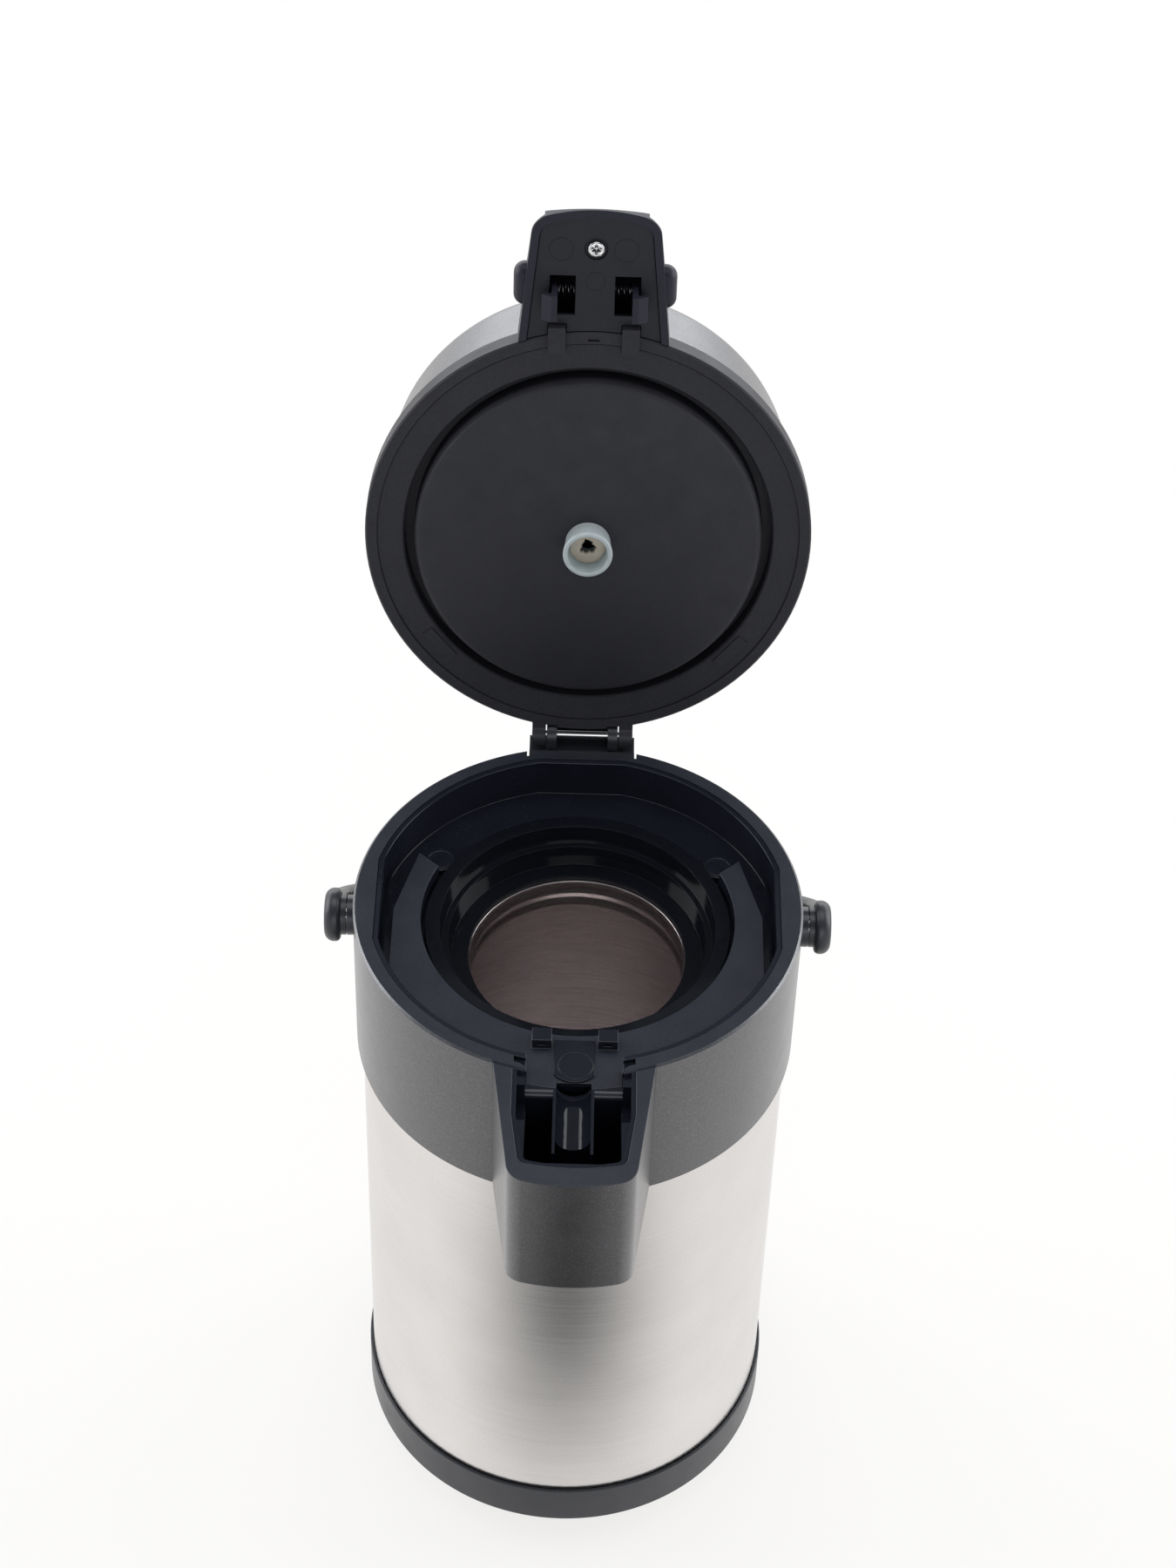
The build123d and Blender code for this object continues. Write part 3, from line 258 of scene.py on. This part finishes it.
def dress(name, material, edge, rounds=2):
    """Gives a solid its material, and rounds its sharp edges by so much, as its mould or press does."""
    piece = nodes[name]
    piece.data.materials.clear()
    piece.data.materials.append(material)
    if "custom_normal" in piece.data.attributes:
        piece.data.attributes.remove(piece.data.attributes["custom_normal"])
    for face in piece.data.polygons:
        face.use_smooth = True
        face.material_index = 0
    seams = piece.modifiers.new("seams", "WELD")
    seams.merge_threshold = same_point
    flats = piece.modifiers.new("flats", "DECIMATE")
    flats.decimate_type = "DISSOLVE"
    flats.angle_limit = same_plane
    softened = piece.modifiers.new("edges", "BEVEL")
    softened.width = edge
    softened.segments = rounds
    softened.limit_method = "ANGLE"
    softened.angle_limit = sharp_turn
    softened.use_clamp_overlap = True
    softened.harden_normals = True


pitted_black = moulded("pitted_black", (0.021, 0.022, 0.024), 0.50, 0.00045, 0.00003)
rubber_black = moulded("rubber_black", (0.018, 0.018, 0.019), 0.72, 0.0012, 0.00004)
dress("swivel_base", pitted_black, 0.0005)
dress("rubber_ring", rubber_black, 0.0004)


# The swivel screw
# A turned steel screw with a wide slotted head. It is driven up through the turntable into the base cap, and
# the turntable turns on its shoulder.
def steel(name, colour, roughness, size, stretch, depth, spread=0.0):
    """Bare steel with fine tool or brush lines, which are noise drawn out along them."""
    material, tree = begin(name)
    lines = grain(tree, size, 3.0, stretch)
    patch = grain(tree, 0.03, 2.0)
    shade = tinted(colour, grade(lines, 0.25, 0.75, 0.93, 1.07) * grade(patch, 0.3, 0.7, 0.97, 1.03))
    sheen = grade(lines, 0.2, 0.8, roughness * 0.8, roughness * 1.2)
    relief = Wire.node(tree, "Bump", {}, {"Strength": 0.6, "Distance": depth, "Height": lines})
    return surface(material, Wire.node(tree, "BsdfPrincipled", {}, {
        "Base Color": shade, "Metallic": 1.0, "Roughness": sheen, "Anisotropic": spread, "Normal": relief}))


bright_steel = steel("bright_steel", (0.68, 0.67, 0.66), 0.22, 0.0008, (1.0, 1.0, 1.0), 0.000004)
dress("swivel_screw", bright_steel, 0.0002)

# The base cap
# A deep satin black plastic cup, pressed on the foot of the steel body and chamfered where it meets the
# turntable.
satin_black = moulded("satin_black", (0.020, 0.0215, 0.028), 0.36, 0.0006, 0.000012)
dress("base_cap", satin_black, 0.0006, 3)

# The steel body
# A drawn stainless jacket, brushed round and round so that its highlights spread up and down, with a pressed
# dish welded into its foot. Both are held by the base cap below and the collar above.
body_steel = steel("body_steel", (0.74, 0.72, 0.705), 0.27, 0.00022, (0.004, 0.004, 1.0), 0.0000015, 0.75)
liner_steel = steel("liner_steel", (0.87, 0.805, 0.80), 0.28, 0.0003, (0.006, 0.006, 1.0), 0.000003, 0.5)
dress("outer_shell", body_steel, 0.0002)
dress("shell_bottom", liner_steel, 0.0003)

# The steel liner
# The flask that holds the drink: drawn steel with rolled ridges in its neck, welded to the jacket at its lip,
# with a silicone washer laid on the lip.
rubber_soft = moulded("soft_black_silicone", (0.024, 0.024, 0.026), 0.55, 0.002, 0.00002)
dress("inner_liner", liner_steel, 0.0003)
dress("neck_gasket", rubber_soft, 0.0003)


# The collar
# A moulded ring round the pot's top. Its side is sprayed with dark metallic-fleck paint, but for the front
# that the spout's hood hides, and its flat rim is left as smooth satin black plastic.
def fleck_paint(name):
    """Dark metallic paint: flakes at slightly different tilts and brightness under a dull clear coat."""
    material, tree = begin(name)
    place = Wire.node(tree, "TexCoord", {}, {}, "Object")
    flake_size = 0.00030
    flake = Wire.node(tree, "TexVoronoi", {}, {"Vector": place, "Scale": 1.0 / flake_size}, "Color")
    bright = Wire.node(tree, "SeparateColor", {}, {0: flake}, 0)
    cloud = grain(tree, 0.012, 3.0)
    glint = grade(bright, 0.72, 1.0, 0.0, 0.5)
    base = grade(bright, 0.0, 0.5, 0.84, 0.96) * grade(cloud, 0.3, 0.7, 0.97, 1.03)
    tilt = Wire.node(tree, "Bump", {}, {"Strength": 0.25, "Distance": 0.00002, "Height": bright})
    sheen = grade(cloud, 0.3, 0.7, 0.38, 0.44)
    return surface(material, Wire.node(tree, "BsdfPrincipled", {}, {
        "Base Color": tinted((0.110, 0.110, 0.116), glint + base), "Metallic": 1.0, "Roughness": sheen,
        "Coat Weight": 0.6, "Coat Roughness": 0.24, "Normal": tilt}))


underside = -0.9
sprayed_lean = 0.3


def bare_inside(name, material, middle):
    """Leaves a piece unpainted but for what faces away from its upright middle line, and its underside."""
    piece = nodes[name]
    piece.data.materials.append(material)
    piece.modifiers["edges"].material = 1
    for face in piece.data.polygons:
        outward = (face.center - middle) * Vector((1.0, 1.0, 0.0))
        if face.normal.z > underside and face.normal.dot(outward.normalized()) < sprayed_lean:
            face.material_index = 1


metallic_grey = fleck_paint("metallic_grey_paint")
rim_black = moulded("smooth_rim_black", (0.019, 0.022, 0.032), 0.30, 0.0009, 0.000008)
dress("collar", metallic_grey, 0.0003)
bare_inside("collar", rim_black, Vector((0.0, 0.0, 0.0)))
hood_wall = 0.001
masked_half_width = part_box("spout_cover")[1][0] - hood_wall
for face in nodes["collar"].data.polygons:
    if face.center.y < 0 and abs(face.center.x) < masked_half_width:
        face.material_index = 1


# The bowl
# A polished black moulding let into the collar: a wall with flats, a floor, a raised C-shaped satin shelf,
# two screw bosses and two clip blocks. Plugs hide the screws that pull it down onto posts on the steel body.
def polished(name, colour, roughness):
    """Polished plastic: very smooth, with the slow waviness of a moulding and a little dust."""
    material, tree = begin(name)
    wave = grain(tree, 0.014, 1.0)
    dust = grain(tree, 0.0011, 4.0)
    shade = tinted(colour, grade(dust, 0.62, 0.74, 1.0, 1.5) * grade(wave, 0.3, 0.7, 0.92, 1.08))
    sheen = grade(dust, 0.55, 0.75, roughness, roughness * 2.2)
    relief = Wire.node(tree, "Bump", {}, {"Strength": 0.5, "Distance": 0.00012, "Height": wave})
    return surface(material, Wire.node(tree, "BsdfPrincipled", {}, {
        "Base Color": shade, "Roughness": sheen, "Normal": relief}))


gloss_black = polished("polished_black", (0.011, 0.0125, 0.020), 0.07)
dress("collar_bowl", gloss_black, 0.0003)
shelf_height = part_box("channel_strip")[0][2]
shelf_margin = 0.0004
level_enough = 0.99
bowl = nodes["collar_bowl"].data
bowl.materials.append(rim_black)
for face in bowl.polygons:
    if face.normal.z > level_enough and abs(face.center.z - shelf_height) < shelf_margin:
        face.material_index = 1
dress("screw_plugs", gloss_black, 0.0002)
dress("bowl_screws", bright_steel, 0.0002)
dress("screw_sockets", pitted_black, 0.0003)

# The throat ring
# A stepped funnel of the same polished plastic, drawn in a darker copy of it: painted shade for its depth in
# the bowl. It hangs from the bowl's floor and presses the washer down on the liner's lip.
# A darker copy of the polished black: painted shade deep in the funnel.
throat_black_painted_shade = polished("throat_black_painted_shade", (0.005, 0.006, 0.009), 0.09)
dress("throat_ring", throat_black_painted_shade, 0.0004, 3)

# The spout
# A hood sprayed like the collar, with a satin edge, a plate under it with the short nozzle, and a polished
# liner with a deep pit, a satin roll at the pit's back edge, and the pouring pipe's trough. A strip on the
# bowl's shelf leads the pipe out to it.
dress("spout_cover", metallic_grey, 0.0006, 3)
hood_middle = Vector((0.0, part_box("spout_cover")[0][1] * 0.75, 0.0))
bare_inside("spout_cover", rim_black, hood_middle)
dress("spout_floor", satin_black, 0.0004)
dress("spout_channel", gloss_black, 0.0003)
edge_depth = 0.003
edge_margin = 0.0002
least_lean = 0.05
most_sideways = 0.2
channel = nodes["spout_channel"].data
channel.materials.append(rim_black)
for face in channel.polygons:
    leans_forward = face.normal.z > least_lean and face.normal.y < -least_lean
    near_edge = -edge_depth < face.center.z - shelf_height < edge_margin
    if leans_forward and near_edge and abs(face.normal.x) < most_sideways:
        face.material_index = 1
dress("channel_strip", gloss_black, 0.00015)


def built(name, verts, faces, body, material, placed=Matrix()):
    """A new piece from its points and faces, moved to its place and cleaned of doubled points."""
    made = bpy.data.meshes.new(name)
    made.from_pydata(verts, [], faces)
    made.transform(placed)
    shape = bmesh.new()
    shape.from_mesh(made)
    bmesh.ops.remove_doubles(shape, verts=shape.verts, dist=0.0000001)
    loose = [edge for edge in shape.edges if not edge.link_faces]
    bmesh.ops.delete(shape, geom=loose, context="EDGES")
    bmesh.ops.recalc_face_normals(shape, faces=shape.faces)
    shape.to_mesh(made)
    shape.free()
    for face in made.polygons:
        face.use_smooth = True
    made.materials.append(material)
    piece = bpy.data.objects.new(name, made)
    bpy.context.scene.collection.objects.link(piece)
    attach(piece, body)
    return piece


def turned(profile, around):
    """Points and faces of a closed outline turned about the upright axis; it may change with the angle."""
    verts = []
    faces = []
    for i in range(around):
        turn = 2 * pi * i / around
        outline = profile(turn)
        for j, (radius, z) in enumerate(outline):
            verts.append((radius * cos(turn), radius * sin(turn), z))
            ahead = (i + 1) % around * len(outline)
            beside = (j + 1) % len(outline)
            faces.append((i * len(outline) + j, ahead + j, ahead + beside, i * len(outline) + beside))
    return verts, faces


def ring_mark(name, middle, radius, body, material, placed=Matrix()):
    """The fine ring that a mould's pin leaves: a round thread half sunk in the surface."""
    thread = 0.00014
    about = [2 * pi * j / 8 for j in range(8)]
    section = [(radius + thread * cos(lean), thread * sin(lean)) for lean in about]
    verts, faces = turned(lambda turn: section, 64)
    verts = [Vector(vert) + middle for vert in verts]
    built(name, verts, faces, body, material, placed)


strip_ring_middle = Vector((0.0004, -0.070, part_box("channel_strip")[1][2]))
ring_mark("strip_ring", strip_ring_middle, 0.006, "pot", gloss_black)

# The lid's hinge
# A black block set into the back of the collar, with two posts and a bright steel pin through them, on which
# the lid's two lugs turn.
dress("hinge_bracket", satin_black, 0.0005)
dress("hinge_pin", bright_steel, 0.0002)

# The carrying handle
# A one-piece satin bail with a soft sleeve round its middle. Its hubs turn on headed steel studs in the
# collar's sides, under round caps.
dress("carry_handle", satin_black, 0.0004)
dress("handle_grip", rubber_soft, 0.0006, 3)
for side in ("left", "right"):
    dress("handle_cap_" + side, satin_black, 0.0003)
    dress("handle_pin_" + side, bright_steel, 0.0002)

# The lid's ring and pan
# The ring is a satin black moulding with a wide band, a groove, snap tabs and two lugs for the hinge. The
# matte pan inside it closes the air pump and comes down over the bowl.
band_black = moulded("band_black", (0.029, 0.029, 0.035), 0.42, 0.0008, 0.00001, 0.22)
pan_black = moulded("pan_black", (0.019, 0.019, 0.0245), 0.58, 0.00042, 0.00004, 0.35)
dress("lid_ring", band_black, 0.0003)
dress("lid_pan", pan_black, 0.0006, 3)

# The lid's drum
# The painted casing round the air pump, with a rounded shoulder and a sleeve that guides the button. It snaps
# onto the lid's ring.
dress("lid_shell", metallic_grey, 0.0003)

# The push button
# A satin plastic cap whose skirt slides in the drum's sleeve. A split ring under the skirt keeps it there,
# and a rubber flap valve in its middle lets air into the bellows.
dress("push_button", satin_black, 0.0005, 3)
dress("button_flange", pitted_black, 0.0002)
dress("intake_valve", rubber_soft, 0.0003)

# The bellows and the return spring
# A folded rubber bellows between the pan and the button makes the air pressure, and a steel coil inside it
# lifts the button. Like all the lid's new pieces, they are drawn as if it were shut, and tipped open about
# the hinge.
hinge = next(joint for joint in frame["joints"] if joint["name"] == "lid_hinge")
hinge_point = Vector(hinge["pos_m"])
open_turn = Matrix.Rotation(-radians(hinge["range_deg"][1]), 4, "X")
tipped_open = Matrix.Translation(hinge_point) @ open_turn @ Matrix.Translation(-hinge_point)
pressed = next(joint for joint in frame["joints"] if joint["name"] == "button_push")
button_travel = pressed["range_m"][1]


def shut_box(name):
    """A lid piece's lowest and highest corners as they are with the lid shut."""
    points = [tipped_open.inverted() @ vertex.co for vertex in nodes[name].data.vertices]
    return [[pick(point[i] for point in points) for i in range(3)] for pick in (min, max)]


def squashed(piece, length, travel):
    """Gives a piece a mesh of its own; the share of its length left when its joint has run is worked out but
    not used.
    """
    (length - travel) / length
    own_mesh(piece)


pump_low, pump_high = (corner[2] for corner in shut_box("bellows"))
bellows_radius = shut_box("bellows")[1][0]
fold_depth = 0.005
folds = 6
steps_per_fold = 10
steps = folds * steps_per_fold
bellows_wall = 0.0014
outside = []
for i in range(steps + 1):
    z = pump_low + (pump_high - pump_low) * i / steps
    outside.append((bellows_radius - fold_depth * (0.5 + 0.5 * cos(2 * pi * i / steps_per_fold)), z))
bellows_outline = outside + [(radius - bellows_wall, z) for radius, z in reversed(outside)]
verts, faces = turned(lambda turn: bellows_outline, 72)
bellows = built("rubber_bellows", verts, faces, "lid", rubber_black, tipped_open)
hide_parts("bellows")
squashed(bellows, pump_high - pump_low, button_travel)


def coil(name, low, high, radius, wire, turns, stance, material):
    """A compression spring from low to high, its end turns closed down flat, and then set in its stance."""
    per_turn = 24
    about = 8
    closed_turns = 0.75
    total = turns * per_turn
    verts = []
    faces = []
    for i in range(total + 1):
        turn = 2 * pi * i / per_turn
        rise = min(max((i / per_turn - closed_turns) / (turns - 2 * closed_turns), 0.0), 1.0)
        middle = low + wire + (high - low - 2 * wire) * rise
        for j in range(about):
            lean = 2 * pi * j / about
            out = radius + wire * cos(lean)
            verts.append(stance @ Vector((out * cos(turn), out * sin(turn), middle + wire * sin(lean))))
            if i < total:
                here = i * about
                beside = (j + 1) % about
                faces.append((here + j, here + about + j, here + about + beside, here + beside))
    faces.append(tuple(range(about)))
    faces.append(tuple(range(total * about, (total + 1) * about)))
    return built(name, verts, faces, "lid", material, tipped_open)


spring_turns = 8
spring_wire = 0.0009
spring_radius = shut_box("return_spring")[1][0] - spring_wire
spring_steel = steel("spring_steel", (0.20, 0.20, 0.21), 0.35, 0.0006, (1.0, 1.0, 1.0), 0.000004)
spring = coil("button_spring", pump_low, pump_high, spring_radius, spring_wire, spring_turns, Matrix(),
              spring_steel)
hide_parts("return_spring")
squashed(spring, pump_high - pump_low, button_travel)


# The air nozzle and its valve
# A soft milky silicone cup in the middle of the pan, through which the air is blown. In its floor sits a
# beige rubber valve, with the ragged hole of one that is punched and worn.
def silicone(name, colour, roughness, scatter, clear):
    """Translucent silicone: light spreads inside it, and its skin is slightly uneven."""
    material, tree = begin(name)
    cloud = grain(tree, 0.003, 3.0)
    shade = tinted(colour, grade(cloud, 0.3, 0.7, 0.94, 1.06))
    relief = Wire.node(tree, "Bump", {}, {"Strength": 0.5, "Distance": 0.00008, "Height": cloud})
    sheen = grade(cloud, 0.3, 0.7, roughness * 0.85, roughness * 1.15)
    return surface(material, Wire.node(tree, "BsdfPrincipled", {}, {
        "Base Color": shade, "Roughness": sheen, "Subsurface Weight": scatter, "Subsurface Scale": 0.003,
        "Subsurface Radius": (0.9, 1.0, 1.0), "Transmission Weight": clear, "IOR": 1.41, "Normal": relief}))


milky = silicone("milky_silicone", (0.70, 0.78, 0.80), 0.34, 0.5, 0.35)
beige = silicone("beige_rubber", (0.56, 0.50, 0.41), 0.5, 0.3, 0.0)
dress("air_nozzle", milky, 0.0003, 3)

valve_low, valve_high = (corner[2] for corner in shut_box("nozzle_valve"))
valve_radius = shut_box("nozzle_valve")[1][0]
hole_radius = 0.0026
valve_lip = 0.0011
tears = ((3, 0.0004, 0.4), (7, 0.00026, 1.9), (13, 0.00016, 0.8))


def torn_ring(turn):
    """The valve's outline at one angle: a disc with a lip round a hole whose edge wanders."""
    hole = hole_radius + sum(depth * sin(waves * turn + start) for waves, depth, start in tears)
    return ((hole, valve_high), (hole - 0.0001, valve_low + valve_lip), (hole + 0.0004, valve_low),
            (hole + 0.0012, valve_low + 0.0003), (valve_radius - 0.0012, valve_low + 0.0006),
            (valve_radius, valve_low + 0.0007), (valve_radius, valve_high))


verts, faces = turned(torn_ring, 96)
valve = built("outlet_valve", verts, faces, "lid", beige, tipped_open)
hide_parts("nozzle_valve")

# The tongue
# A satin box at the lid's front that carries the latches, closed by an inset matte plate. The plate shows the
# rings of its ejector pins, a window for each hook, and a bright cross-head screw in a recess.
cover_black = moulded("cover_black", (0.0085, 0.009, 0.0135), 0.5, 0.0006, 0.00002, 0.35)
tongue_black = moulded("tongue_black", (0.019, 0.0185, 0.030), 0.42, 0.0006, 0.000012, 0.25)
dress("tongue_housing", tongue_black, 0.0006, 3)
dress("tongue_cover", cover_black, 0.0003)
head_low, head_high = (Vector(corner) for corner in shut_box("tongue_screw"))
head_radius = head_high.x
head_depth = 0.002
shank_radius = 0.0015
cross_depth = 0.0016


def cross_head(turn):
    """The screw's outline at one angle: a four-pointed star pressed deep into a low dome, and the shank."""
    star = head_radius * (0.26 + 0.40 * abs(cos(2 * turn)) ** 1.5)
    top = head_low.z
    return ((0.0, top + cross_depth), (star * 0.5, top + cross_depth * 0.875), (star, top + 0.0001),
            (head_radius * 0.75, top), (head_radius * 0.92, top + 0.0002), (head_radius, top + 0.0006),
            (head_radius, top + head_depth), (shank_radius, top + head_depth),
            (shank_radius, head_high.z), (0.0, head_high.z))


verts, faces = turned(cross_head, 96)
screw_line = (head_low.y + head_high.y) / 2
verts = [(x, y + screw_line, z) for x, y, z in verts]
screw = built("cross_head_screw", verts, faces, "lid", bright_steel, tipped_open)
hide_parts("tongue_screw")
# The middle of the screw's cross recess is coloured dark: painted shade inside the recess.
painted_cross_shade = moulded("painted_recess_shade", (0.020, 0.018, 0.018), 0.5, 0.0004, 0.00001)
screw.data.materials.append(painted_cross_shade)
cross_middle = tipped_open @ Vector((0.0, screw_line, head_low.z))
cross_reach = head_radius * 0.49
for face in screw.data.polygons:
    if (face.center - cross_middle).length < cross_reach:
        face.material_index = 1
cover_face = shut_box("tongue_cover")[0][2]
pin_rings = (("left", -0.0119, -0.1103, 0.0042), ("back", 0.0, -0.0988, 0.0033),
             ("right", 0.0105, -0.1104, 0.0042))
for side, x, y, radius in pin_rings:
    middle = Vector((x, y, cover_face))
    ring_mark("cover_ring_" + side, middle, radius, "lid", cover_black, tipped_open)

# The squeeze latches
# Two satin buttons at the tongue's sides, each in one moulding with its arm and hook, and pushed out by a
# small coil that sits on the tongue's middle rib.
latch_wire = 0.00035
latch_turns = 7
for side, sign in (("left", -1), ("right", 1)):
    dress("latch_button_" + side, tongue_black, 0.0003)
    low, high = shut_box("latch_spring_" + side)
    rib_end, button_end = sorted((low[0], high[0]), key=abs)
    middle = Vector((0.0, (low[1] + high[1]) / 2, (low[2] + high[2]) / 2))
    lying = Matrix.Translation(middle) @ Matrix.Rotation(sign * pi / 2, 4, "Y")
    radius = (high[1] - low[1]) / 2 - latch_wire
    latch_coil = coil("squeeze_spring_" + side, abs(rib_end), abs(button_end), radius, latch_wire,
                      latch_turns, lying, spring_steel)
    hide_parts("latch_spring_" + side)
    squeeze = next(joint for joint in frame["joints"] if joint["name"] == "latch_" + side)
    length = abs(button_end - rib_end)
    squashed(latch_coil, length, squeeze["range_m"][1])
